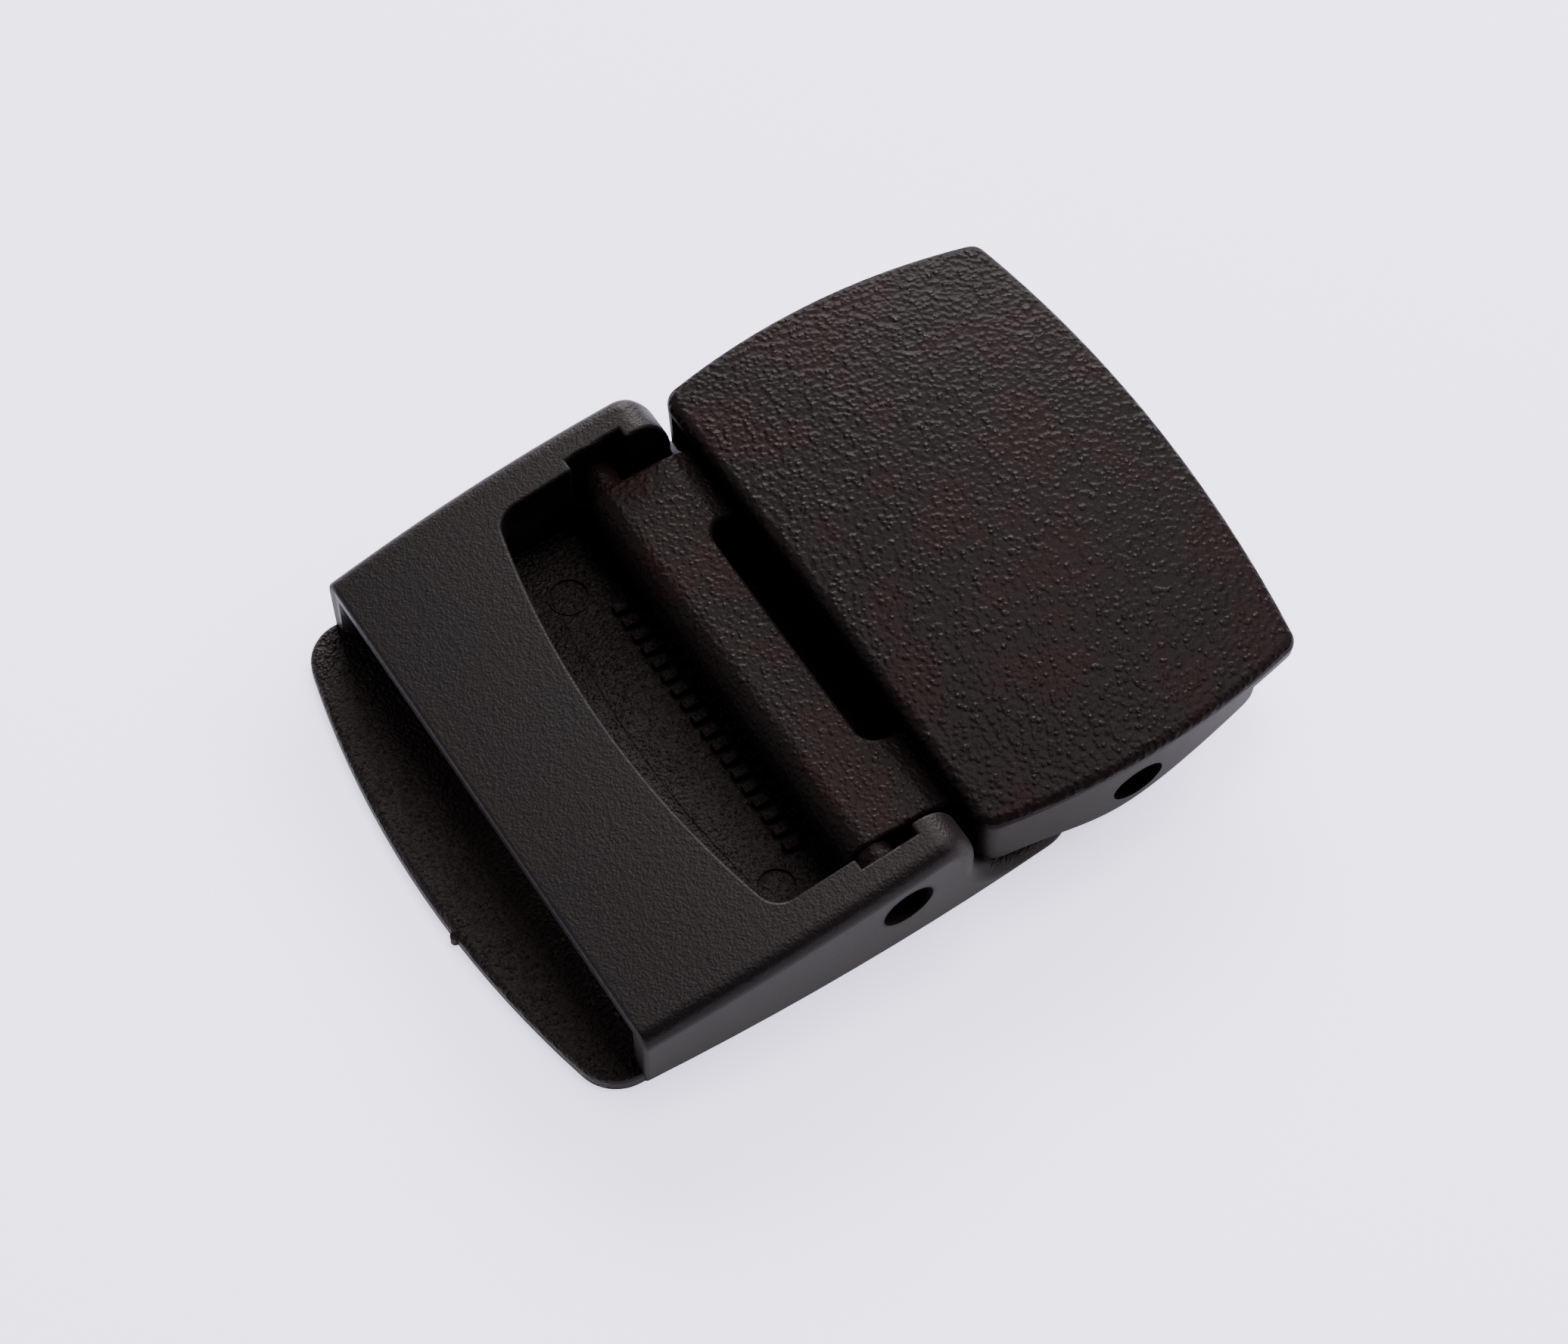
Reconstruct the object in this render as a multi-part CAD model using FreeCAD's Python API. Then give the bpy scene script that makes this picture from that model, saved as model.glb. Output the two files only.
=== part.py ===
import FreeCAD, Part
import math
import os

from FreeCAD import Vector

os.makedirs("parts", exist_ok=True)

# A lift-lever belt buckle in moulded plastic, in millimetres.
# +X points to the fixed end of the belt, +Z away from the wearer, and Y across the belt.
# The origin is on the back face of the frame, straight below the lever's pivot.

# ---- webbing and fits ----
webbing_width = 38.0
webbing_side_play = 0.1
pivot_clearance = 0.06

# ---- frame, seen from above ----
mouth_reach = 21.5
side_wall_thickness = 3.25
mouth_pinch = 0.43
side_bow_at = -7.0
tail_reach = 16.6
tail_pinch = 1.1
tail_corner_radius = 4.0
side_flare = 3.5
mouth_rim_radius = 0.35
tongue_length = 5.8
tongue_arc_radius = 81.0
tongue_side_step = 0.12
tongue_corner_radius = 3.4
tongue_edge_radius = 0.45
gate_vestige_radius = 0.35
gate_vestige_height = 0.9
gate_vestige_y = -5.2

# ---- frame, seen from the side ----
base_thickness = 1.25
channel_height = 4.5
lip_thickness = 1.0
top_edge_rise = 0.25
pivot_height = 5.65
pivot_bore = 3.1
bore_mouth = 4.2
frame_bore_length = 1.0
ear_radius = 6.2
ear_top_angle = 50.0
ear_foot_angle = -4.0
sweep_radius = 4.4
rim_height = 1.4
ear_crest_radius = 2.2
ear_foot_radius = 1.3
outer_edge_radius = 1.3
inner_edge_radius = 0.25

# ---- frame, inside ----
wall_foot_radius = 0.9
mouth_flare = 1.5
mouth_flare_length = 2.2
window_reach = 11.15
window_arc_radius = 78.0
window_corner_radius = 1.9
pocket_depth = 0.9
pocket_length = 4.6
witness_line_reach = 8.4
witness_line_half_width = 13.0
witness_line_width = 0.16
witness_line_depth = 0.07
ejector_mark_radius = 1.45
ejector_mark_depth = 0.1
ejector_ring_width = 0.18
ejector_ring_height = 0.12
ejector_mark_x = -5.8
ejector_mark_y = 14.4

# ---- floor teeth ----
tooth_pitch = 1.38
tooth_width = 0.8
tooth_height = 0.6
tooth_length = 1.15
tooth_row_pitch = 1.65
tooth_rows = 3
teeth_start_x = -3.7
tooth_band_half_width = 12.5

# ---- lever ----
lever_side_gap = 1.4
bar_top_height = 7.45
bar_flat_end = 4.9
slope_end = 9.4
slope_bend_radius = 3.0
tray_top_height = 6.0
tray_thickness = 1.4
tray_side_gap = 1.48
tray_shoulder_x = 7.6
tray_shoulder_radius = 0.7
nose_height = 2.75
nose_left = 0.7
nose_right = 1.1
bar_waist = 1.95
bar_waist_low = 4.2
bar_heel = 2.4
bar_edge_radius = 1.8
bar_heel_radius = 0.4
bar_side_radius = 0.35
slot_left = 4.0
slot_length = 5.6
slot_half_width = 10.9
slot_corner_radius = 1.5
slot_edge_radius = 0.4
trunnion_recess = 0.2
trunnion_end_radius = 0.35
nose_groove_width = 0.6
nose_groove_depth = 0.45

# ---- cover ----
cover_pivot_x = 19.8
cover_pivot_height = 4.4
cover_ear_gap = 0.7
cover_overhang = 0.55
cover_left_pinch = 1.2
cover_bow_at = 20.0
cover_right_corner_x = 34.6
cover_right_pinch = 2.0
cover_right = 36.3
cover_left_corner_radius = 1.6
cover_right_corner_radius = 1.3
cover_side_flare = 6.0
cover_edge_height = 8.4
cover_crown_x = 20.0
cover_crown_height = 10.35
cover_crown_radius = 190.0
cover_plate_thickness = 1.6
cover_wall_thickness = 1.8
cover_edge_radius = 0.8
cover_wall_left_height = 2.35
cover_wall_left_radius = 2.2
cover_wall_flat_x = 12.8
cover_wall_flat_height = 2.2
cover_wall_low_x = 18.2
cover_wall_low_height = 1.15
cover_wall_rise_x = 24.0
cover_wall_rise_height = 2.8
cover_wall_right = 30.2
cover_wall_right_height = 5.2
cover_wall_corner_radius = 1.2
front_lip_length = 1.3
front_lip_height = 7.75
boss_height = 0.6
boss_radius = 2.8
snap_groove_depth = 0.35
cover_bore_length = 0.75
jaw_left = 14.2
jaw_length = 3.3
jaw_gap = 0.7
jaw_side_gap = 0.6
jaw_rows = 3
jaw_tooth_depth = 0.6
tab_thickness = 0.8
tab_gap = 0.3
tab_half_width = 5.0
tab_foot_height = 5.2
cover_mark_radius = 2.0
cover_mark_depth = 0.12
cover_mark_y = 13.0

# ---- sizes that follow ----
overrun = 2.0
sky = 30.0
touch = 0.01
straight_down = -90.0
down_and_left = -135.0
channel_half_width = webbing_width / 2 + webbing_side_play
channel_top = base_thickness + channel_height
lip_top = channel_top + lip_thickness
side_bow_half_width = channel_half_width + side_wall_thickness
mouth_half_width = side_bow_half_width - mouth_pinch
tail_half_width = side_bow_half_width - tail_pinch
tongue_half_width = mouth_half_width - tongue_side_step
tongue_reach = mouth_reach + tongue_length
pocket_half_width = channel_half_width + pocket_depth
frame_bore_end = pocket_half_width + frame_bore_length
lever_half_width = channel_half_width - lever_side_gap
trunnion_radius = pivot_bore / 2 - pivot_clearance
tray_bottom_height = tray_top_height - tray_thickness
slot_right = slot_left + slot_length
jaw_foot_height = tray_top_height + jaw_gap
cover_left = ear_radius + cover_ear_gap
cover_bow_half_width = side_bow_half_width + cover_overhang
cover_left_half_width = cover_bow_half_width - cover_left_pinch
cover_right_half_width = cover_bow_half_width - cover_right_pinch
cover_taper = math.tan(math.radians(cover_side_flare))
cover_pivot_wall = cover_bow_half_width - (cover_edge_height - cover_pivot_height) * cover_taper
cover_inner_wall = cover_pivot_wall - cover_wall_thickness
boss_half_width = cover_inner_wall - boss_height
snap_groove_half_width = boss_half_width + snap_groove_depth
cover_bore_end = snap_groove_half_width + cover_bore_length
tray_half_width = cover_inner_wall - tray_side_gap
jaw_half_width = tray_half_width - jaw_side_gap


def on_circle(centre_x, centre_z, radius, degrees):
    """Give a point of the side view on a circle about a centre."""
    angle = math.radians(degrees)
    return side_point(centre_x + radius * math.cos(angle), centre_z + radius * math.sin(angle))


def side_point(x, z):
    return Vector(x, 0, z)


def plan_point(x, y):
    return Vector(x, y, 0)


def line(start, end):
    return Part.makeLine(start, end)


def arc(start, middle, end):
    return Part.Arc(start, middle, end).toShape()


def lines_through(points):
    """Join points by straight edges, open at the end."""
    return [line(a, b) for a, b in zip(points, points[1:])]


def block(x_start, x_end, y_start, y_end, z_start, z_end):
    """Make a box from its six sides."""
    corner = Vector(x_start, y_start, z_start)
    return Part.makeBox(x_end - x_start, y_end - y_start, z_end - z_start, corner)


def centred_block(x_start, x_end, half_width, z_start, z_end):
    """Make a box that reaches evenly to both sides of the belt's middle."""
    return block(x_start, x_end, -half_width, half_width, z_start, z_end)


def side_extrusion(pieces, half_width):
    """Extrude a closed outline of the side view evenly to both sides."""
    face = Part.Face(Part.Wire(Part.__sortEdges__(pieces)))
    face.translate(Vector(0, -half_width, 0))
    return face.extrude(Vector(0, 2 * half_width, 0))


def plan_extrusion(pieces, z_start, z_end):
    """Extrude a closed outline of the top view between two heights."""
    face = Part.Face(Part.Wire(Part.__sortEdges__(pieces)))
    face.translate(Vector(0, 0, z_start))
    return face.extrude(Vector(0, 0, z_end - z_start))


def cross_pin(centre, radius, half_width):
    """Make a round pin along Y that reaches evenly to both sides."""
    foot = Vector(centre.x, -half_width, centre.z)
    return Part.makeCylinder(radius, 2 * half_width, foot, Vector(0, 1, 0))


def disc(x, y, z, radius, height):
    return Part.makeCylinder(radius, height, Vector(x, y, z))


def edges_where(shape, test):
    """Pick edges by a test on the edge and its middle point."""
    picked = []
    for edge in shape.Edges:
        middle = edge.valueAt((edge.FirstParameter + edge.LastParameter) / 2)
        if test(edge, middle):
            picked.append(edge)
    return picked


def rounded(shape, radius, test):
    """Round the edges that a test picks."""
    return shape.makeFillet(radius, edges_where(shape, test))


def is_small(length):
    return length < touch


def runs_along_y(edge):
    box = edge.BoundBox
    return is_small(box.XLength) and is_small(box.ZLength)


def runs_along_z(edge):
    box = edge.BoundBox
    return is_small(box.XLength) and is_small(box.YLength)


def is_steep(edge):
    box = edge.BoundBox
    return box.ZLength > 2 * (box.XLength + box.YLength)


def near(point):
    """Make a test for edges along Y through a point of the side view."""
    def test(edge, middle):
        return runs_along_y(edge) and is_small(math.hypot(middle.x - point.x, middle.z - point.z))
    return test


def bowed_sides(left, left_half, bow_at, bow_half, right, right_half):
    """Make the straight left end and the two bowed sides of an outline."""
    pieces = [line(plan_point(left, -left_half), plan_point(left, left_half))]
    for side in (1, -1):
        start = plan_point(left, side * left_half)
        middle = plan_point(bow_at, side * bow_half)
        end = plan_point(right, side * right_half)
        pieces.append(arc(start, middle, end))
    return pieces


def flared_block(outline, edge_height, flare, z_start, z_end):
    """Make a block whose outline widens evenly with height, true to size at the edge height."""
    wires = []
    for z in (z_start, z_end):
        growth = (z - edge_height) * math.tan(math.radians(flare))
        wire = Part.Wire(Part.__sortEdges__(outline(growth)))
        wire.translate(Vector(0, 0, z))
        wires.append(wire)
    return Part.makeLoft(wires, True, True)


def is_upright(edge):
    """Tell whether an edge runs from the bottom to the top of a tall block."""
    return edge.BoundBox.ZLength > sky / 2


def frame_plan():
    """The frame's walls from above, as a tall block with flared sides."""
    def outline(growth):
        sides = bowed_sides(-mouth_reach, mouth_half_width + growth,
                            side_bow_at, side_bow_half_width + growth,
                            tail_reach, tail_half_width + growth)
        half = tail_half_width + growth
        return sides + [line(plan_point(tail_reach, half), plan_point(tail_reach, -half))]
    plan = flared_block(outline, 0, side_flare, 0, sky)
    return rounded(plan, tail_corner_radius, lambda e, m: is_upright(e) and m.x > 0)


def frame_profile():
    """The frame from the side: lip, rising top edge, ear, and the sweep down to the rim."""
    crest = on_circle(0, pivot_height, ear_radius, ear_top_angle)
    brow = on_circle(0, pivot_height, ear_radius, (ear_top_angle + ear_foot_angle) / 2)
    foot = on_circle(0, pivot_height, ear_radius, ear_foot_angle)
    centre_height = rim_height + sweep_radius
    sweep_length = math.sqrt(sweep_radius ** 2 - (centre_height - foot.z) ** 2)
    sweep_end = side_point(foot.x + sweep_length, rim_height)
    half_angle = math.asin(sweep_length / sweep_radius) / 2
    sweep_middle = on_circle(sweep_end.x, centre_height, sweep_radius,
                             straight_down - math.degrees(half_angle))
    lip = side_point(-mouth_reach, lip_top)
    top_middle = (lip + crest) / 2 + side_point(0, top_edge_rise)
    straight = lines_through([sweep_end, side_point(tail_reach, rim_height), side_point(tail_reach, 0),
                              side_point(-mouth_reach, 0), lip])
    curved = [arc(lip, top_middle, crest), arc(crest, brow, foot), arc(foot, sweep_middle, sweep_end)]
    profile = side_extrusion(straight + curved, sky)
    profile = rounded(profile, ear_crest_radius, near(crest))
    return rounded(profile, ear_foot_radius, near(foot))


def tongue():
    """The part of the base that reaches out of the mouth, with the vestige of its gate."""
    centre_x = tongue_arc_radius - tongue_reach
    corner_x = centre_x - math.sqrt(tongue_arc_radius ** 2 - tongue_half_width ** 2)
    back = -mouth_reach + mouth_flare
    far = plan_point(corner_x, tongue_half_width)
    near_side = plan_point(corner_x, -tongue_half_width)
    tip = plan_point(-tongue_reach, 0)
    sides = lines_through([far, plan_point(back, tongue_half_width),
                           plan_point(back, -tongue_half_width), near_side])
    plate = plan_extrusion(sides + [arc(near_side, tip, far)], 0, base_thickness)
    plate = rounded(plate, tongue_corner_radius, lambda e, m: runs_along_z(e) and m.x < -mouth_reach)
    plate = rounded(plate, tongue_edge_radius,
                    lambda e, m: m.z > base_thickness / 2 and m.x < back - touch and not runs_along_z(e))
    gate_x = centre_x - math.sqrt(tongue_arc_radius ** 2 - gate_vestige_y ** 2)
    return plate.fuse(disc(gate_x, gate_vestige_y, 0, gate_vestige_radius, gate_vestige_height))


def mouth_flare_hollow():
    """The mouth's widening on both sides, rounded into the straight channel."""
    flare_radius = (mouth_flare_length ** 2 + mouth_flare ** 2) / (2 * mouth_flare)
    flare_angle = math.asin(mouth_flare_length / flare_radius)
    throat_x = -mouth_reach + mouth_flare_length
    half_x = throat_x - flare_radius * math.sin(flare_angle / 2)
    half_y = channel_half_width + flare_radius * (1 - math.cos(flare_angle / 2))
    open_half = channel_half_width + mouth_flare
    start_x = -mouth_reach - overrun
    pieces = [line(plan_point(start_x, -open_half), plan_point(start_x, open_half)),
              line(plan_point(throat_x, -channel_half_width), plan_point(throat_x, channel_half_width))]
    for side in (1, -1):
        mouth = plan_point(-mouth_reach, side * open_half)
        throat = plan_point(throat_x, side * channel_half_width)
        pieces.append(line(plan_point(start_x, mouth.y), mouth))
        pieces.append(arc(mouth, plan_point(half_x, side * half_y), throat))
    return plan_extrusion(pieces, base_thickness, channel_top)


def channel_hollow():
    """The webbing's way through the frame, rounded at the walls' feet."""
    channel = centred_block(-mouth_reach + mouth_flare_length, tail_reach + overrun,
                            channel_half_width, base_thickness, channel_top)
    feet = rounded(channel, wall_foot_radius,
                   lambda e, m: is_small(m.z - base_thickness) and is_small(e.BoundBox.YLength))
    return feet.fuse(mouth_flare_hollow()).removeSplitter()


def window_hollow():
    """The window over the lever, open to the back between the ears."""
    centre_x = window_arc_radius - window_reach
    corner_x = centre_x - math.sqrt(window_arc_radius ** 2 - channel_half_width ** 2)
    far = plan_point(corner_x, channel_half_width)
    close = plan_point(corner_x, -channel_half_width)
    end = tail_reach + overrun
    sides = lines_through([far, plan_point(end, channel_half_width),
                           plan_point(end, -channel_half_width), close])
    middle_height = base_thickness + channel_height / 2
    window = plan_extrusion(sides + [arc(close, plan_point(-window_reach, 0), far)], middle_height, sky)
    return rounded(window, window_corner_radius, lambda e, m: runs_along_z(e) and m.x < 0)


def pivot_pockets():
    """The lead-in grooves inside the ears, down which the lever's trunnions are pressed."""
    radius = pocket_length / 2
    shoe = cross_pin(side_point(0, pivot_height), radius, pocket_half_width)
    way = centred_block(-radius, radius, pocket_half_width, pivot_height, sky)
    return shoe.fuse(way).removeSplitter()


def pivot_bores(pivot, bore_end):
    """The bores for a pair of trunnions, each with a wider mouth from the outside."""
    mouths = cross_pin(pivot, bore_mouth / 2, sky).cut(cross_pin(pivot, bore_mouth, bore_end))
    return cross_pin(pivot, pivot_bore / 2, sky).fuse(mouths)


def floor_teeth():
    """Rows of square teeth under the lever's nose, every second row shifted by half a pitch."""
    teeth = []
    for row in range(tooth_rows):
        x = teeth_start_x + row * tooth_row_pitch
        shift = tooth_pitch / 2 * (row % 2)
        count = int((2 * tooth_band_half_width - shift) / tooth_pitch)
        for index in range(count):
            y = -tooth_band_half_width + shift + index * tooth_pitch
            top = base_thickness + tooth_height
            teeth.append(block(x, x + tooth_length, y, y + tooth_width, base_thickness / 2, top))
    return teeth


def floor_marks():
    """The raised rings round the ejector marks, and what is sunk into the floor."""
    rings = []
    sunk = []
    for side in (1, -1):
        y = side * ejector_mark_y
        outer = ejector_mark_radius + ejector_ring_width
        rings.append(disc(ejector_mark_x, y, base_thickness / 2, outer,
                          base_thickness / 2 + ejector_ring_height))
        sunk.append(disc(ejector_mark_x, y, base_thickness - ejector_mark_depth,
                         ejector_mark_radius, base_thickness))
    centre_x = window_arc_radius - witness_line_reach
    floor = base_thickness - witness_line_depth
    outer_edge = disc(centre_x, 0, floor, window_arc_radius, base_thickness)
    inner_edge = disc(centre_x, 0, floor, window_arc_radius - witness_line_width, base_thickness)
    band = centred_block(-mouth_reach, 0, witness_line_half_width, 0, pivot_height)
    sunk.append(outer_edge.cut(inner_edge).common(band))
    return rings, sunk


def make_frame():
    """The moulded frame: base, tongue, side walls, lip and ears."""
    walls = frame_plan().common(frame_profile())
    side_start = tail_half_width - tail_corner_radius

    def outer_top(edge, middle):
        sideways = abs(middle.y) > side_start and not is_small(edge.BoundBox.XLength)
        return sideways and middle.z > rim_height - touch
    walls = rounded(walls, outer_edge_radius, outer_top)

    def mouth_rim(edge, middle):
        on_mouth = is_small(edge.BoundBox.XLength) and is_small(middle.x + mouth_reach)
        return on_mouth and middle.z > touch
    walls = rounded(walls, mouth_rim_radius, mouth_rim)
    frame = walls.cut(channel_hollow().fuse(window_hollow()).removeSplitter())
    frame = frame.cut(pivot_pockets())

    def window_rim(edge, middle):
        inside = abs(middle.y) < pocket_half_width + touch and middle.x > -mouth_reach + overrun
        return inside and middle.z > channel_top + touch and not runs_along_z(edge)

    def pocket_side(edge, middle):
        on_wall = is_small(abs(abs(middle.y) - channel_half_width))
        at_pocket = is_small(abs(abs(middle.x) - pocket_length / 2))
        return on_wall and at_pocket and middle.z > pivot_height
    frame = rounded(frame, inner_edge_radius, lambda e, m: window_rim(e, m) or pocket_side(e, m))
    frame = frame.cut(pivot_bores(side_point(0, pivot_height), frame_bore_end))
    rings, sunk = floor_marks()
    frame = frame.fuse([tongue()] + rings + floor_teeth())
    frame = frame.cut(sunk)
    return frame.removeSplitter()


def lever_plan():
    """The lever from above: narrow between the ears, wide under the cover."""
    left = -bar_waist - overrun
    points = [plan_point(left, lever_half_width), plan_point(tray_shoulder_x, lever_half_width),
              plan_point(tray_shoulder_x, tray_half_width), plan_point(cover_pivot_x, tray_half_width)]
    mirrored = [plan_point(p.x, -p.y) for p in reversed(points)]
    plan = plan_extrusion(lines_through(points + mirrored + points[:1]), 0, sky)
    return rounded(plan, tray_shoulder_radius,
                   lambda e, m: runs_along_z(e) and is_small(m.x - tray_shoulder_x))


def lever_profile():
    """The lever from the side: cam nose, bar, slope and tray."""
    top_left = side_point(-bar_waist, bar_top_height)
    bend = side_point(bar_flat_end, bar_top_height)
    foot = side_point(slope_end, tray_top_height)
    heel = side_point(bar_heel, tray_bottom_height)
    points = [top_left, bend, foot, side_point(cover_pivot_x, tray_top_height),
              side_point(cover_pivot_x, tray_bottom_height), heel,
              side_point(nose_right, nose_height), side_point(-nose_left, nose_height),
              side_point(-bar_waist, bar_waist_low)]
    profile = side_extrusion(lines_through(points + points[:1]), sky)
    profile = rounded(profile, bar_edge_radius, near(top_left))
    profile = rounded(profile, slope_bend_radius, near(bend))
    profile = rounded(profile, slope_bend_radius, near(foot))
    return rounded(profile, bar_heel_radius, near(heel))


def lever_slot():
    """The slot behind the bar, with round corners."""
    slot = centred_block(slot_left, slot_right, slot_half_width, 0, sky)
    return rounded(slot, slot_corner_radius, lambda e, m: runs_along_z(e))


def trunnions(centre, radius, reach):
    """A pair of moulded trunnions as one pin, rounded at both ends."""
    pin = cross_pin(centre, radius, reach)
    return rounded(pin, trunnion_end_radius, lambda e, m: is_small(abs(m.y) - reach))


def nose_grooves():
    """Grooves across the cam nose that leave gripping teeth between them."""
    grooves = []
    count = int(2 * tooth_band_half_width / tooth_pitch)
    for index in range(count + 1):
        y = -tooth_band_half_width + index * tooth_pitch
        grooves.append(block(-bar_waist - overrun, bar_heel, y, y + nose_groove_width,
                             nose_height - overrun, nose_height + nose_groove_depth))
    return grooves


def make_lever():
    """The cam lever: bar with nose and trunnions, slot, tray and the cover's trunnions."""
    lever = lever_plan().common(lever_profile()).cut(lever_slot())

    def top_edges(edge, middle):
        on_side = abs(middle.y) > lever_half_width - touch
        on_bar = middle.z > (tray_top_height + bar_top_height) / 2
        return on_side and on_bar and not runs_along_y(edge) and not runs_along_z(edge)
    lever = rounded(lever, bar_side_radius, top_edges)
    rear = side_point(cover_pivot_x, cover_pivot_height)
    front_reach = frame_bore_end - trunnion_recess
    rear_reach = cover_bore_end - trunnion_recess
    lever = lever.fuse([trunnions(side_point(0, pivot_height), trunnion_radius, front_reach),
                        trunnions(rear, trunnion_radius, rear_reach)])
    lever = lever.cut(nose_grooves()).removeSplitter()

    def slot_rim(edge, middle):
        within = slot_left - touch < middle.x < slot_right + touch
        on_top = middle.z > tray_top_height - touch and not is_steep(edge)
        return within and on_top and abs(middle.y) < slot_half_width + touch
    return rounded(lever, slot_edge_radius, slot_rim)


def cover_plan(left, shrink):
    """The cover from above, or the space inside its walls, as a tall block with flared sides."""
    def outline(growth):
        sides = bowed_sides(left, cover_left_half_width + growth,
                            cover_bow_at, cover_bow_half_width + growth,
                            cover_right_corner_x, cover_right_half_width + growth)
        far = plan_point(cover_right_corner_x, cover_right_half_width + growth)
        tip = plan_point(cover_right - shrink, 0)
        return sides + [arc(far, tip, plan_point(far.x, -far.y))]
    true_height = cover_edge_height + shrink / cover_taper
    return flared_block(outline, true_height, cover_side_flare, -overrun, sky)


def crown(depth):
    """A ball whose top is the cover's crown, or the same surface some depth below it."""
    centre = Vector(cover_crown_x, 0, cover_crown_height - cover_crown_radius)
    return Part.makeSphere(cover_crown_radius - depth, centre)


def below_walls():
    """What lies under the curved lower edge of the side walls and behind their ends."""
    radius = cover_wall_left_radius
    round_x = cover_left + radius
    round_z = cover_wall_left_height + radius
    low_right = side_point(cover_wall_right, cover_wall_right_height)
    edge_points = [side_point(round_x, cover_wall_left_height),
                   side_point(cover_wall_flat_x, cover_wall_flat_height),
                   side_point(cover_wall_low_x, cover_wall_low_height),
                   side_point(cover_wall_rise_x, cover_wall_rise_height), low_right]
    edge = Part.BSplineCurve()
    edge.interpolate(edge_points)
    corner = arc(side_point(cover_left, round_z), on_circle(round_x, round_z, radius, down_and_left),
                 edge_points[0])
    ground = -2 * overrun
    points = [low_right, side_point(cover_wall_right, sky), side_point(cover_right + overrun, sky),
              side_point(cover_right + overrun, ground), side_point(cover_left - overrun, ground),
              side_point(cover_left - overrun, round_z), side_point(cover_left, round_z)]
    region = side_extrusion(lines_through(points) + [corner, edge.toShape()], sky)
    return rounded(region, cover_wall_corner_radius, near(low_right))


def jaw():
    """The jaw that bites the fixed end of the webbing, with rows of pointed teeth."""
    right = jaw_left + jaw_length
    bar = centred_block(jaw_left, right, jaw_half_width, jaw_foot_height, cover_crown_height)
    row_length = jaw_length / jaw_rows
    grooves = []
    for row in range(jaw_rows):
        start = jaw_left + row * row_length
        valley = [side_point(start, jaw_foot_height - touch),
                  side_point(start + row_length, jaw_foot_height - touch),
                  side_point(start + row_length, jaw_foot_height + jaw_tooth_depth)]
        grooves.append(side_extrusion(lines_through(valley + valley[:1]), sky))
    return bar.cut(grooves)


def latch_tab():
    """The tab that drops into the lever's slot beside its back edge."""
    end = slot_right - tab_gap
    return centred_block(end - tab_thickness, end, tab_half_width, tab_foot_height, cover_crown_height)


def snap_grooves(pivot):
    """The lead-in grooves in the bosses, up which the lever's trunnions are pressed."""
    radius = pivot_bore / 2
    shoe = cross_pin(pivot, radius, snap_groove_half_width)
    way = centred_block(pivot.x - radius, pivot.x + radius, snap_groove_half_width, -overrun, pivot.z)
    return shoe.fuse(way)


def pivot_bosses(pivot):
    """Round bosses inside the side walls that lengthen the cover's bores."""
    reach = cover_inner_wall + cover_wall_thickness / 2
    return cross_pin(pivot, boss_radius, reach).cut(cross_pin(pivot, sky, boss_half_width))


def cover_marks():
    """Round ejector marks sunk into the underside of the plate."""
    marks = []
    bare_start = cover_pivot_x + pivot_bore
    for x in (bare_start, (bare_start + cover_right) / 2):
        for side in (1, -1):
            drop = (cover_mark_y ** 2 + (x - cover_crown_x) ** 2) / (2 * cover_crown_radius)
            top = cover_crown_height - cover_plate_thickness - drop + cover_mark_depth
            marks.append(disc(x, side * cover_mark_y, 0, cover_mark_radius, top))
    return marks


def make_cover():
    """The domed cover: plate, side walls, front lip, jaw, tab and the bores for its pivot."""
    outside = cover_plan(cover_left, 0)
    outside = rounded(outside, cover_left_corner_radius,
                      lambda e, m: is_upright(e) and m.x < cover_bow_at)
    outside = rounded(outside, cover_right_corner_radius,
                      lambda e, m: is_upright(e) and m.x > cover_bow_at)
    body = outside.common(crown(0))
    body = rounded(body, cover_edge_radius, lambda e, m: m.z > cover_crown_height / 2 and not is_steep(e))
    inside = cover_plan(cover_left + front_lip_length, cover_wall_thickness)
    under_lip = centred_block(cover_left - overrun, cover_right, sky, -overrun, front_lip_height)
    under_lip = under_lip.common(cover_plan(cover_left - overrun, cover_wall_thickness))
    under_plate = crown(cover_plate_thickness)
    body = body.cut(inside.fuse(below_walls()).common(under_plate))
    body = body.cut(under_lip)
    under = crown(cover_plate_thickness / 2)
    pivot = side_point(cover_pivot_x, cover_pivot_height)
    body = body.fuse([jaw().common(under), latch_tab().common(under), pivot_bosses(pivot)])
    body = body.cut(snap_grooves(pivot))
    body = body.cut(pivot_bores(pivot, cover_bore_end))
    return body.cut(cover_marks()).removeSplitter()


shapes = {"frame": make_frame(), "lever": make_lever(), "cover": make_cover()}
for name, shape in shapes.items():
    print(name, shape.isValid(), round(shape.Volume, 1), len(shape.Solids))
    shape.exportStep("parts/" + name + ".step")
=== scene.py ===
import math

import bpy
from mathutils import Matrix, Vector


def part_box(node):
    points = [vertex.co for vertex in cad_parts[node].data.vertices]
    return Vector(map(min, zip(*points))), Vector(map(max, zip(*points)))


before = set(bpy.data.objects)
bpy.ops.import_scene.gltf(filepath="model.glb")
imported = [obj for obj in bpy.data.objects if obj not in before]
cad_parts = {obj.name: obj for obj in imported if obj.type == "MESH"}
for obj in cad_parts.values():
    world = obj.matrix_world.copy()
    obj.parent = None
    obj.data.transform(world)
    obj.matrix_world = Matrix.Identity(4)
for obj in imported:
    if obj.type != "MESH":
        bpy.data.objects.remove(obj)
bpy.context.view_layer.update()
print("stage 1: solids loaded,", len(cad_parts), "nodes")

mm = 0.001


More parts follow.
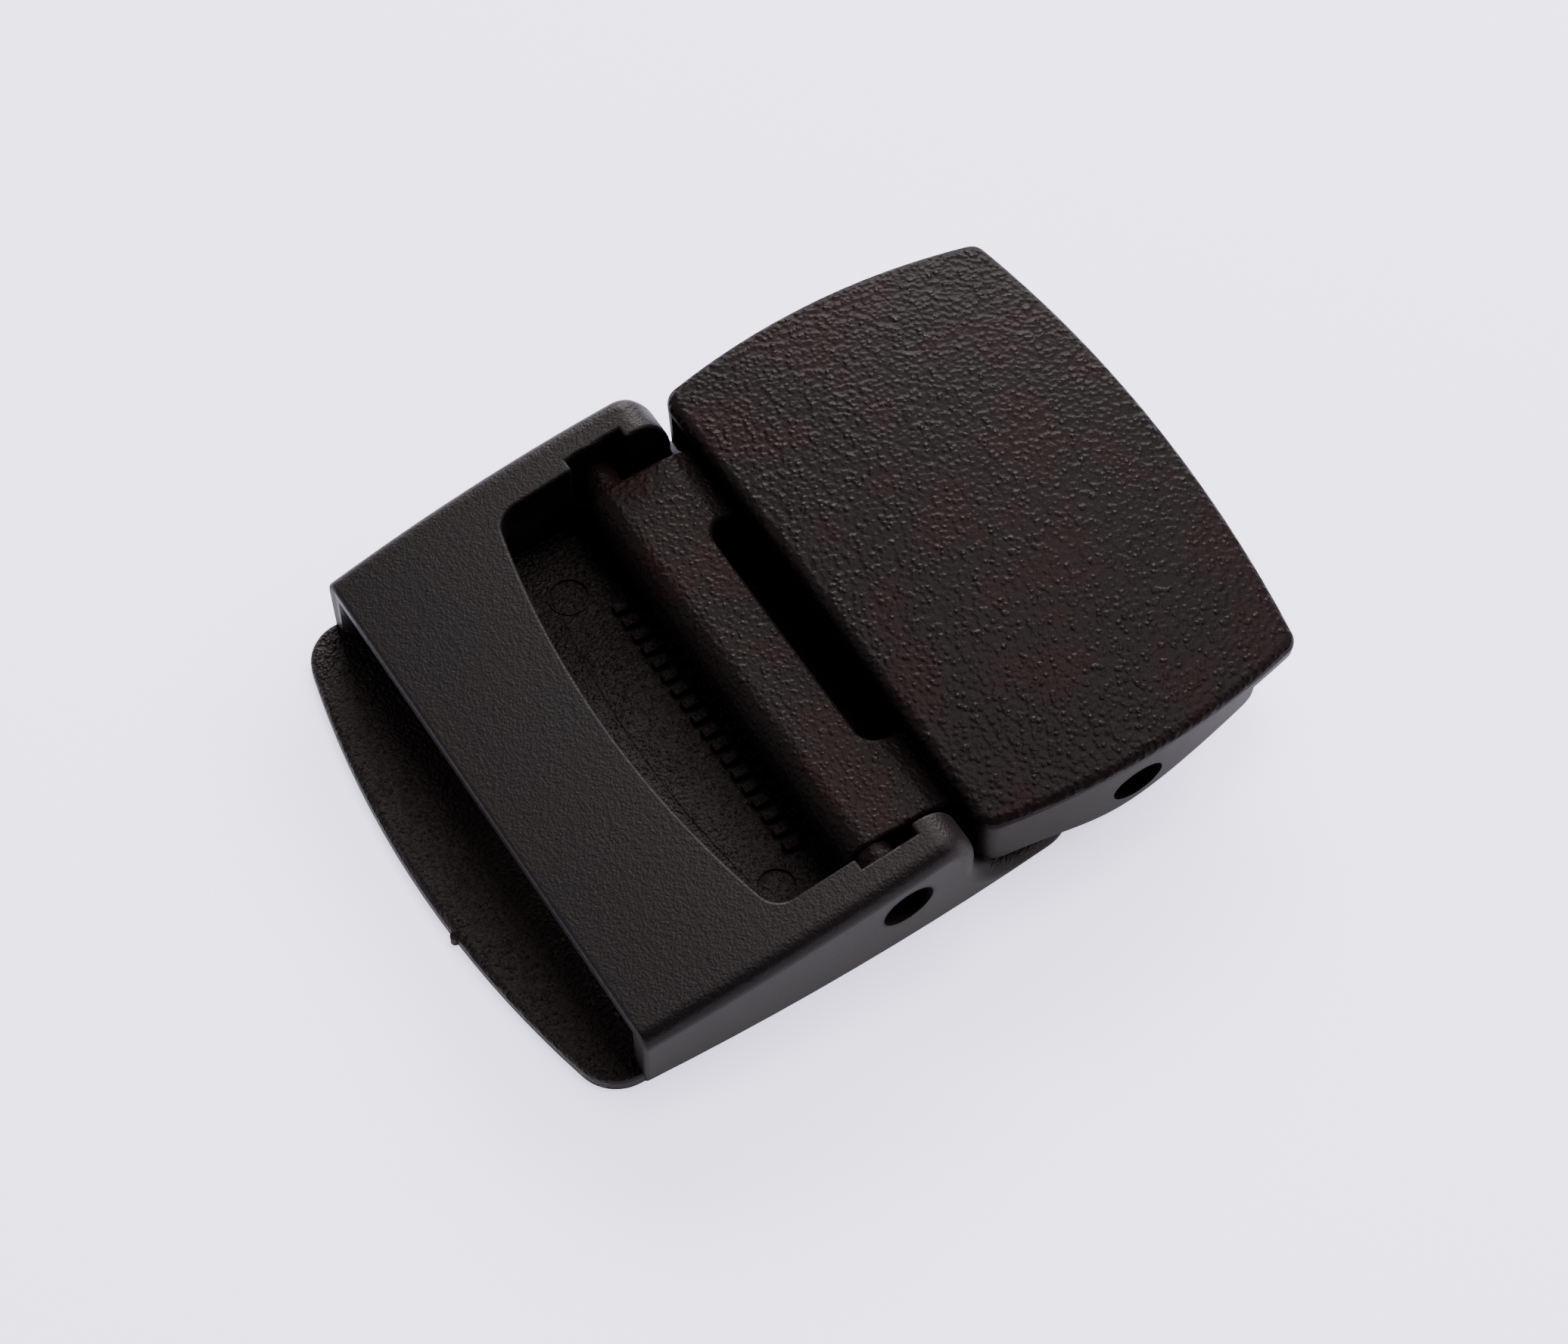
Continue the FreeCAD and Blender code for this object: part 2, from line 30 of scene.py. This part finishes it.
# small helpers for shader trees
def addNode(tree, kind, **settings):
    node = tree.nodes.new(kind)
    for name, value in settings.items():
        setattr(node, name, value)
    return node


def feed(tree, value, socket):
    # a socket is wired, anything else is a plain number or colour
    if isinstance(value, bpy.types.NodeSocket):
        tree.links.new(value, socket)
    else:
        socket.default_value = value


def sums(tree, operation, first, second=0.0, third=0.0, clamp=False):
    node = addNode(tree, "ShaderNodeMath", operation=operation, use_clamp=clamp)
    for index, value in enumerate((first, second, third)):
        feed(tree, value, node.inputs[index])
    return node.outputs[0]


def blendColors(tree, factor, first, second, mode="MIX"):
    node = addNode(tree, "ShaderNodeMix", data_type="RGBA", blend_type=mode)
    feed(tree, factor, node.inputs[0])
    feed(tree, first, node.inputs[6])
    feed(tree, second, node.inputs[7])
    return node.outputs[2]


def mixValues(tree, factor, first, second):
    node = addNode(tree, "ShaderNodeMix", data_type="FLOAT")
    for socket, value in ((0, factor), (2, first), (3, second)):
        feed(tree, value, node.inputs[socket])
    return node.outputs[0]


def ramp(tree, value, low, high, start=0.0, end=1.0):
    # a smooth step from start at low to end at high
    node = addNode(tree, "ShaderNodeMapRange", interpolation_type="SMOOTHSTEP")
    for name, number in (("Value", value), ("From Min", low), ("From Max", high),
                         ("To Min", start), ("To Max", end)):
        feed(tree, number, node.inputs[name])
    return node.outputs[0]


def newGroup(name, inputs, outputs):
    tree = bpy.data.node_groups.new(name, "ShaderNodeTree")
    for label, kind, default in inputs:
        socket = tree.interface.new_socket(label, in_out="INPUT", socket_type="NodeSocket" + kind)
        if default is not None:
            socket.default_value = default
    for label, kind in outputs:
        tree.interface.new_socket(label, in_out="OUTPUT", socket_type="NodeSocket" + kind)
    return tree, tree.nodes.new("NodeGroupInput").outputs, tree.nodes.new("NodeGroupOutput").inputs


def placeGroup(tree, group, **values):
    node = addNode(tree, "ShaderNodeGroup", node_tree=group)
    for label, value in values.items():
        feed(tree, value, node.inputs[label])
    return node.outputs


# shared surface effects
grainShape = {
    "smoothness": 0.85, "domeReach": 0.8, "swellScale": 0.55, "swellDetail": 1.0,
    "swellBand": (0.3, 0.7), "lowestDome": 0.5, "crumbScale": 1.7, "crumbDetail": 1.5,
    "crownBand": (0.35, 0.8),
}


def makePebbleGrain(shape):
    # low rounded pebbles of uneven height, as an etched mould leaves them
    tree, given, result = newGroup(
        "pebbleGrain",
        [("Place", "Vector", None), ("Size", "Float", None), ("Fineness", "Float", None)],
        [("Height", "Float"), ("Crown", "Float")])
    density = sums(tree, "DIVIDE", 1.0, given["Size"])
    cells = addNode(tree, "ShaderNodeTexVoronoi", feature="SMOOTH_F1")
    tree.links.new(given["Place"], cells.inputs["Vector"])
    feed(tree, density, cells.inputs["Scale"])
    cells.inputs["Smoothness"].default_value = shape["smoothness"]
    domes = ramp(tree, cells.outputs["Distance"], 0.0, shape["domeReach"], 1.0, 0.0)
    swell = addNode(tree, "ShaderNodeTexNoise")
    tree.links.new(given["Place"], swell.inputs["Vector"])
    feed(tree, sums(tree, "MULTIPLY", density, shape["swellScale"]), swell.inputs["Scale"])
    swell.inputs["Detail"].default_value = shape["swellDetail"]
    share = ramp(tree, swell.outputs["Fac"], *shape["swellBand"], shape["lowestDome"], 1.0)
    tall = sums(tree, "MULTIPLY", domes, share)
    crumbs = addNode(tree, "ShaderNodeTexNoise")
    tree.links.new(given["Place"], crumbs.inputs["Vector"])
    feed(tree, sums(tree, "MULTIPLY", density, shape["crumbScale"]), crumbs.inputs["Scale"])
    crumbs.inputs["Detail"].default_value = shape["crumbDetail"]
    height = sums(tree, "MULTIPLY_ADD", crumbs.outputs["Fac"], given["Fineness"], tall)
    tree.links.new(height, result["Height"])
    tree.links.new(ramp(tree, tall, *shape["crownBand"]), result["Crown"])
    return tree


sparkShape = {
    "coarse": (0.42, 1.0), "fine": (1.0, 1.5),  # density and detail
    "coarseShare": 0.4, "fineShare": 0.6, "speckBand": (0.52, 0.72),
}


def makeSparkTexture(shape):
    # the fine even roughness of a spark-eroded mould
    tree, given, result = newGroup(
        "sparkTexture",
        [("Place", "Vector", None), ("Size", "Float", None)],
        [("Height", "Float"), ("Speck", "Float")])
    density = sums(tree, "DIVIDE", 1.0, given["Size"])
    parts = []
    for factor, detail in (shape["fine"], shape["coarse"]):
        noise = addNode(tree, "ShaderNodeTexNoise")
        tree.links.new(given["Place"], noise.inputs["Vector"])
        feed(tree, sums(tree, "MULTIPLY", density, factor), noise.inputs["Scale"])
        noise.inputs["Detail"].default_value = detail
        parts.append(noise.outputs["Fac"])
    fine, coarse = parts
    height = sums(tree, "MULTIPLY", fine, shape["fineShare"])
    height = sums(tree, "MULTIPLY_ADD", coarse, shape["coarseShare"], height)
    tree.links.new(height, result["Height"])
    tree.links.new(ramp(tree, fine, *shape["speckBand"]), result["Speck"])
    return tree


wearShape = {
    "samples": 6, "turnBand": (0.9, 0.997), "patchScale": 0.9, "patchDetail": 4.0,
    "patchBand": (0.38, 0.66),
}


def makeEdgeWear(shape):
    # where edges are rubbed smooth and a little paler
    tree, given, result = newGroup(
        "edgeWear",
        [("Place", "Vector", None), ("Width", "Float", None), ("Breakup", "Float", None)],
        [("Mask", "Float")])
    bevel = addNode(tree, "ShaderNodeBevel", samples=shape["samples"])
    feed(tree, given["Width"], bevel.inputs["Radius"])
    geometry = addNode(tree, "ShaderNodeNewGeometry")
    dot = addNode(tree, "ShaderNodeVectorMath", operation="DOT_PRODUCT")
    tree.links.new(bevel.outputs[0], dot.inputs[0])
    tree.links.new(geometry.outputs["Normal"], dot.inputs[1])
    edge = ramp(tree, dot.outputs["Value"], *shape["turnBand"], 1.0, 0.0)
    patches = addNode(tree, "ShaderNodeTexNoise")
    tree.links.new(given["Place"], patches.inputs["Vector"])
    patches.inputs["Scale"].default_value = shape["patchScale"]
    patches.inputs["Detail"].default_value = shape["patchDetail"]
    broken = ramp(tree, patches.outputs["Fac"], *shape["patchBand"])
    kept = mixValues(tree, given["Breakup"], 1.0, broken)
    tree.links.new(sums(tree, "MULTIPLY", edge, kept), result["Mask"])
    return tree


driftShape = {"detail": 3.0, "distortion": 0.4, "band": (0.36, 0.64)}


def makeDyeDrift(shape):
    # slow drift between the warm and the neutral side of a dark dyed plastic
    tree, given, result = newGroup(
        "dyeDrift",
        [("Place", "Vector", None), ("Warm", "Color", None), ("Neutral", "Color", None),
         ("Span", "Float", None)],
        [("Color", "Color")])
    cloud = addNode(tree, "ShaderNodeTexNoise")
    tree.links.new(given["Place"], cloud.inputs["Vector"])
    feed(tree, sums(tree, "DIVIDE", 1.0, given["Span"]), cloud.inputs["Scale"])
    cloud.inputs["Detail"].default_value = shape["detail"]
    cloud.inputs["Distortion"].default_value = shape["distortion"]
    share = ramp(tree, cloud.outputs["Fac"], *shape["band"])
    tree.links.new(blendColors(tree, share, given["Neutral"], given["Warm"]), result["Color"])
    return tree


pebbleGrain = makePebbleGrain(grainShape)
sparkTexture = makeSparkTexture(sparkShape)
edgeWear = makeEdgeWear(wearShape)
dyeDrift = makeDyeDrift(driftShape)
print("stage 2: surface effects made")

sheenTint = (1.0, 0.90, 0.88, 1)  # the warm cast of the plastic's sheen


def startMaterial(name):
    # a material with its place in millimetres ready for the effects
    material = bpy.data.materials.new(name)
    material.use_nodes = True
    tree = material.node_tree
    tree.nodes.clear()
    shader = tree.nodes.new("ShaderNodeBsdfPrincipled")
    shader.inputs["Specular Tint"].default_value = sheenTint
    output = tree.nodes.new("ShaderNodeOutputMaterial")
    tree.links.new(shader.outputs[0], output.inputs["Surface"])
    place = addNode(tree, "ShaderNodeMapping")
    place.inputs["Scale"].default_value = (1 / mm, 1 / mm, 1 / mm)
    tree.links.new(tree.nodes.new("ShaderNodeTexCoord").outputs["Object"], place.inputs["Vector"])
    return material, tree, shader, place.outputs[0]


def axisValues(tree, vector):
    split = tree.nodes.new("ShaderNodeSeparateXYZ")
    tree.links.new(vector, split.inputs[0])
    return split.outputs[0], split.outputs[1], split.outputs[2]


uprightBand = (0.35, 0.8)
underBand = (-0.1, -0.5)


def upwardShare(tree):
    # one on faces that look up, none on upright ones and minus one underneath
    return axisValues(tree, tree.nodes.new("ShaderNodeTexCoord").outputs["Normal"])[2]


def steepness(tree):
    # one on upright faces and none on level ones
    return ramp(tree, sums(tree, "ABSOLUTE", upwardShare(tree)), *uprightBand, 1.0, 0.0)


def underside(tree):
    # one on faces that look down
    return ramp(tree, upwardShare(tree), *underBand)


def bump(tree, relief):
    # relief is in millimetres
    node = addNode(tree, "ShaderNodeBump")
    node.inputs["Distance"].default_value = mm
    tree.links.new(relief, node.inputs["Height"])
    return node.outputs[0]


# frame plastic: spark texture on top, smoother outside walls, pebbled floor and tongue; floor, teeth
# and tongue are tinted browner and darker, the darkening being painted shade
frameLook = {
    "warm": (0.0056, 0.0036, 0.0040, 1), "neutral": (0.0048, 0.0038, 0.0044, 1), "span": 9.0,
    "sparkSize": 0.20, "sparkDepth": 0.080, "wallDepth": 0.016, "wallInset": 1.9,
    "floorGrain": 0.28, "floorDepth": 0.125, "floorFineness": 1.0, "toothHeight": 0.6,
    "roughness": 0.46, "wallRoughness": 0.56, "floorRoughness": 0.47, "edgeRoughness": 0.75,
    "specular": 0.135, "speckPolish": 0.10, "crownPolish": 0.12,
    # the low-floor tint is a browner dye, also darkened as painted shade for the recessed floor and
    # the tongue under the lip
    "floorDyeAndShade": (0.0060, 0.0030, 0.0030, 1), "floorDyeAndShadeShare": 0.85,
    "wearColor": (0.006, 0.0042, 0.0044, 1), "wearShare": 0.3,
    "wearWidth": 0.5 * mm, "wearBreakup": 0.2, "wallBlend": 0.15, "floorBlend": (0.15, 0.05),
}


def makeFramePlastic(look, floorHeight, halfWidth):
    material, tree, shader, place = startMaterial("framePlastic")
    dye = placeGroup(tree, dyeDrift, Place=place, Warm=look["warm"], Neutral=look["neutral"],
                     Span=look["span"])
    spark = placeGroup(tree, sparkTexture, Place=place, Size=look["sparkSize"])
    pebbles = placeGroup(tree, pebbleGrain, Place=place, Size=look["floorGrain"],
                         Fineness=look["floorFineness"])
    wear = placeGroup(tree, edgeWear, Place=place, Width=look["wearWidth"],
                      Breakup=look["wearBreakup"])
    across, high = axisValues(tree, place)[1:]
    inset = halfWidth - look["wallInset"]
    outside = ramp(tree, sums(tree, "ABSOLUTE", across), inset - look["wallBlend"],
                   inset + look["wallBlend"])
    onWall = sums(tree, "MULTIPLY", steepness(tree), outside)
    floorTop = floorHeight + look["toothHeight"]
    above, into = look["floorBlend"]
    low = ramp(tree, high, floorTop + above, floorTop + into)
    onFloor = sums(tree, "SUBTRACT", low, onWall, clamp=True)  # floor, teeth and tongue
    # painted shade: the low floor, teeth and tongue blend towards a browner, darker tint that stands
    # in for the shade of the recessed floor and of the tongue under the lip
    skin = blendColors(tree, sums(tree, "MULTIPLY", onFloor, look["floorDyeAndShadeShare"]),
                       dye["Color"], look["floorDyeAndShade"])
    color = blendColors(tree, sums(tree, "MULTIPLY", wear["Mask"], look["wearShare"]),
                        skin, look["wearColor"])
    tree.links.new(color, shader.inputs["Base Color"])
    topRough = sums(tree, "MULTIPLY_ADD", spark["Speck"], -look["speckPolish"], look["roughness"])
    floorRough = sums(tree, "MULTIPLY_ADD", pebbles["Crown"], -look["crownPolish"],
                      look["floorRoughness"])
    rough = mixValues(tree, onFloor, topRough, floorRough)
    rough = mixValues(tree, onWall, rough, look["wallRoughness"])
    rough = mixValues(tree, wear["Mask"], rough, look["edgeRoughness"])
    tree.links.new(rough, shader.inputs["Roughness"])
    shader.inputs["Specular IOR Level"].default_value = look["specular"]
    sparkDepth = mixValues(tree, onWall, look["sparkDepth"], look["wallDepth"])
    sparkHeight = sums(tree, "MULTIPLY", spark["Height"], sparkDepth)
    floorRelief = sums(tree, "MULTIPLY", pebbles["Height"], look["floorDepth"])
    relief = mixValues(tree, onFloor, sparkHeight, floorRelief)
    tree.links.new(bump(tree, relief), shader.inputs["Normal"])
    return material


# lever plastic: fine pebbles all over
leverLook = {
    "warm": (0.0060, 0.0032, 0.0030, 1), "neutral": (0.0047, 0.0032, 0.0033, 1), "span": 6.0,
    "grain": 0.38, "depth": 0.078, "fineness": 0.6, "roughness": 0.40, "specular": 0.045,
    "crownPolish": 0.14, "wearColor": (0.007, 0.005, 0.005, 1), "wearShare": 0.2,
    "wearWidth": 0.25 * mm, "wearBreakup": 0.5,
}


def makeLeverPlastic(look):
    material, tree, shader, place = startMaterial("leverPlastic")
    dye = placeGroup(tree, dyeDrift, Place=place, Warm=look["warm"], Neutral=look["neutral"],
                     Span=look["span"])
    pebbles = placeGroup(tree, pebbleGrain, Place=place, Size=look["grain"],
                         Fineness=look["fineness"])
    wear = placeGroup(tree, edgeWear, Place=place, Width=look["wearWidth"],
                      Breakup=look["wearBreakup"])
    color = blendColors(tree, sums(tree, "MULTIPLY", wear["Mask"], look["wearShare"]),
                        dye["Color"], look["wearColor"])
    tree.links.new(color, shader.inputs["Base Color"])
    rough = sums(tree, "MULTIPLY_ADD", pebbles["Crown"], -look["crownPolish"], look["roughness"])
    tree.links.new(rough, shader.inputs["Roughness"])
    relief = sums(tree, "MULTIPLY", pebbles["Height"], look["depth"])
    tree.links.new(bump(tree, relief), shader.inputs["Normal"])
    shader.inputs["Specular IOR Level"].default_value = look["specular"]
    return material


# cover plastic: coarse pebbles on top, smooth walls below the parting line and inside
coverLook = {
    "warm": (0.0072, 0.0041, 0.0041, 1), "neutral": (0.0058, 0.0042, 0.0045, 1), "span": 5.5,
    "grain": 0.44, "depth": 0.10, "fineness": 0.45, "roughness": 0.38, "specular": 0.04,
    "crownPolish": 0.14, "wallRoughness": 0.44, "wallDepth": 0.016, "sparkSize": 0.15,
    "wearColor": (0.007, 0.005, 0.005, 1), "wearShare": 0.2,
    "wearWidth": 0.25 * mm, "wearBreakup": 0.5, "partingDrop": 2.0, "partingBlend": 0.06,
}


def makeCoverPlastic(look, topHeight):
    material, tree, shader, place = startMaterial("coverPlastic")
    dye = placeGroup(tree, dyeDrift, Place=place, Warm=look["warm"], Neutral=look["neutral"],
                     Span=look["span"])
    pebbles = placeGroup(tree, pebbleGrain, Place=place, Size=look["grain"],
                         Fineness=look["fineness"])
    spark = placeGroup(tree, sparkTexture, Place=place, Size=look["sparkSize"])
    wear = placeGroup(tree, edgeWear, Place=place, Width=look["wearWidth"],
                      Breakup=look["wearBreakup"])
    high = axisValues(tree, place)[2]
    partingHeight = topHeight - look["partingDrop"]
    blend = look["partingBlend"]
    below = ramp(tree, high, partingHeight + blend, partingHeight - blend)
    onWall = sums(tree, "MAXIMUM", below, underside(tree))
    color = blendColors(tree, sums(tree, "MULTIPLY", wear["Mask"], look["wearShare"]),
                        dye["Color"], look["wearColor"])
    tree.links.new(color, shader.inputs["Base Color"])
    topRough = sums(tree, "MULTIPLY_ADD", pebbles["Crown"], -look["crownPolish"], look["roughness"])
    rough = mixValues(tree, onWall, topRough, look["wallRoughness"])
    tree.links.new(rough, shader.inputs["Roughness"])
    shader.inputs["Specular IOR Level"].default_value = look["specular"]
    grainRelief = sums(tree, "MULTIPLY", pebbles["Height"], look["depth"])
    wallRelief = sums(tree, "MULTIPLY", spark["Height"], look["wallDepth"])
    relief = mixValues(tree, onWall, grainRelief, wallRelief)
    tree.links.new(bump(tree, relief), shader.inputs["Normal"])
    return material


def dress(node, material):
    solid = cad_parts[node]
    solid.data.materials.clear()
    solid.data.materials.append(material)


frameLow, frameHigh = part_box("frame")
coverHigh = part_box("cover")[1]
baseThickness = 1.25  # the frame's base, in millimetres
dress("frame", makeFramePlastic(frameLook, baseThickness, frameHigh[1] / mm))
dress("lever", makeLeverPlastic(leverLook))
dress("cover", makeCoverPlastic(coverLook, coverHigh[2] / mm))
print("stage 3: plastics made")


# floor, light and camera
stageLook = {
    "size": 3.0, "floorColor": (0.80, 0.785, 0.98, 1), "floorGlow": 1.6,
    "floorRoughness": 0.9, "floorSpecular": 0.1,
    "bounceColor": (0.66, 0.63, 0.63, 1),
    "fillColor": (0.0095, 0.0096, 0.01, 1), "backdropColor": (2.9, 2.85, 3.5, 1),
}


def makeFloor(look, height):
    half = look["size"] / 2
    corners = [(x * half, y * half, height) for x, y in ((-1, -1), (1, -1), (1, 1), (-1, 1))]
    mesh = bpy.data.meshes.new("floor")
    mesh.from_pydata(corners, [], [(0, 1, 2, 3)])
    floor = bpy.data.objects.new("floor", mesh)
    bpy.context.scene.collection.objects.link(floor)
    material = bpy.data.materials.new("floorPaper")
    material.use_nodes = True
    shader = material.node_tree.nodes["Principled BSDF"]
    shader.inputs["Base Color"].default_value = look["floorColor"]
    shader.inputs["Roughness"].default_value = look["floorRoughness"]
    shader.inputs["Specular IOR Level"].default_value = look["floorSpecular"]
    tree = material.node_tree
    path = addNode(tree, "ShaderNodeLightPath")
    glow = blendColors(tree, path.outputs["Is Camera Ray"], look["bounceColor"], look["floorColor"])
    tree.links.new(glow, shader.inputs["Emission Color"])  # seen a little brighter than it lights
    shader.inputs["Emission Strength"].default_value = look["floorGlow"]
    mesh.materials.append(material)


def makeWorld(look):
    world = bpy.data.worlds.new("studio")
    world.use_nodes = True
    tree = world.node_tree
    path = addNode(tree, "ShaderNodeLightPath")
    glow = blendColors(tree, path.outputs["Is Camera Ray"], look["fillColor"], look["backdropColor"])
    tree.links.new(glow, tree.nodes["Background"].inputs["Color"])  # pale behind the floor's edge
    bpy.context.scene.world = world


def aimAt(thing, place, target):
    thing.location = place
    thing.rotation_euler = (Vector(target) - Vector(place)).to_track_quat("-Z", "Y").to_euler()


def addSoftbox(look, forward, centre, distance):
    # the bearing is counted clockwise from the way the camera looks
    bearing = math.radians(forward + look["bearing"])
    elevation = math.radians(look["elevation"])
    way = Vector((math.sin(bearing) * math.cos(elevation), math.cos(bearing) * math.cos(elevation),
                  math.sin(elevation)))
    light = bpy.data.lights.new(look["name"], "AREA")
    light.shape = "RECTANGLE"
    light.size, light.size_y = look["size"]
    light.energy = look["power"]
    thing = bpy.data.objects.new(look["name"], light)
    thing.visible_glossy = look.get("sheen", True)  # some only light, without a reflection
    bpy.context.scene.collection.objects.link(thing)
    aimAt(thing, Vector(centre) + way * distance, centre)


def addCamera(look):
    camera = bpy.data.cameras.new("camera")
    camera.sensor_width = look["sensor"]
    camera.lens = look["lens"]
    camera.clip_start = look["clipStart"]
    thing = bpy.data.objects.new("camera", camera)
    bpy.context.scene.collection.objects.link(thing)
    azimuth = math.radians(look["azimuth"])
    elevation = math.radians(look["elevation"])
    target = Vector(look["target"]) * mm
    way = Vector((-math.sin(azimuth) * math.cos(elevation), -math.cos(azimuth) * math.cos(elevation),
                  math.sin(elevation)))
    aimAt(thing, target + way * look["distance"] * mm, target)
    bpy.context.scene.camera = thing


cameraLook = {
    "azimuth": 32.46, "elevation": 59.8, "distance": 330.7, "target": (4.6, 0.98, 0.0),
    "lens": 102.73, "sensor": 36.0, "clipStart": 0.01,
}

lightDistance = 0.8
lightTarget = (5 * mm, 0, 4 * mm)
softboxes = (
    {"name": "farLow", "bearing": 2, "elevation": 25, "size": (0.6, 0.25), "power": 13.5},
    {"name": "farHigh", "bearing": 5, "elevation": 68, "size": (0.5, 0.4), "power": 3.0},
    {"name": "farRight", "bearing": 45, "elevation": 25, "size": (0.6, 0.25), "power": 8.0,
     "sheen": False},
    {"name": "farRightHigh", "bearing": 50, "elevation": 68, "size": (0.5, 0.4), "power": 4.2},
    {"name": "rightLow", "bearing": 90, "elevation": 35, "size": (0.5, 0.4), "power": 2.4},
    {"name": "leftLow", "bearing": -90, "elevation": 35, "size": (0.5, 0.4), "power": 1.8},
)

makeWorld(stageLook)
makeFloor(stageLook, frameLow[2])
for softbox in softboxes:
    addSoftbox(softbox, cameraLook["azimuth"], lightTarget, lightDistance)
addCamera(cameraLook)
print("stage 4: floor, light and camera set")
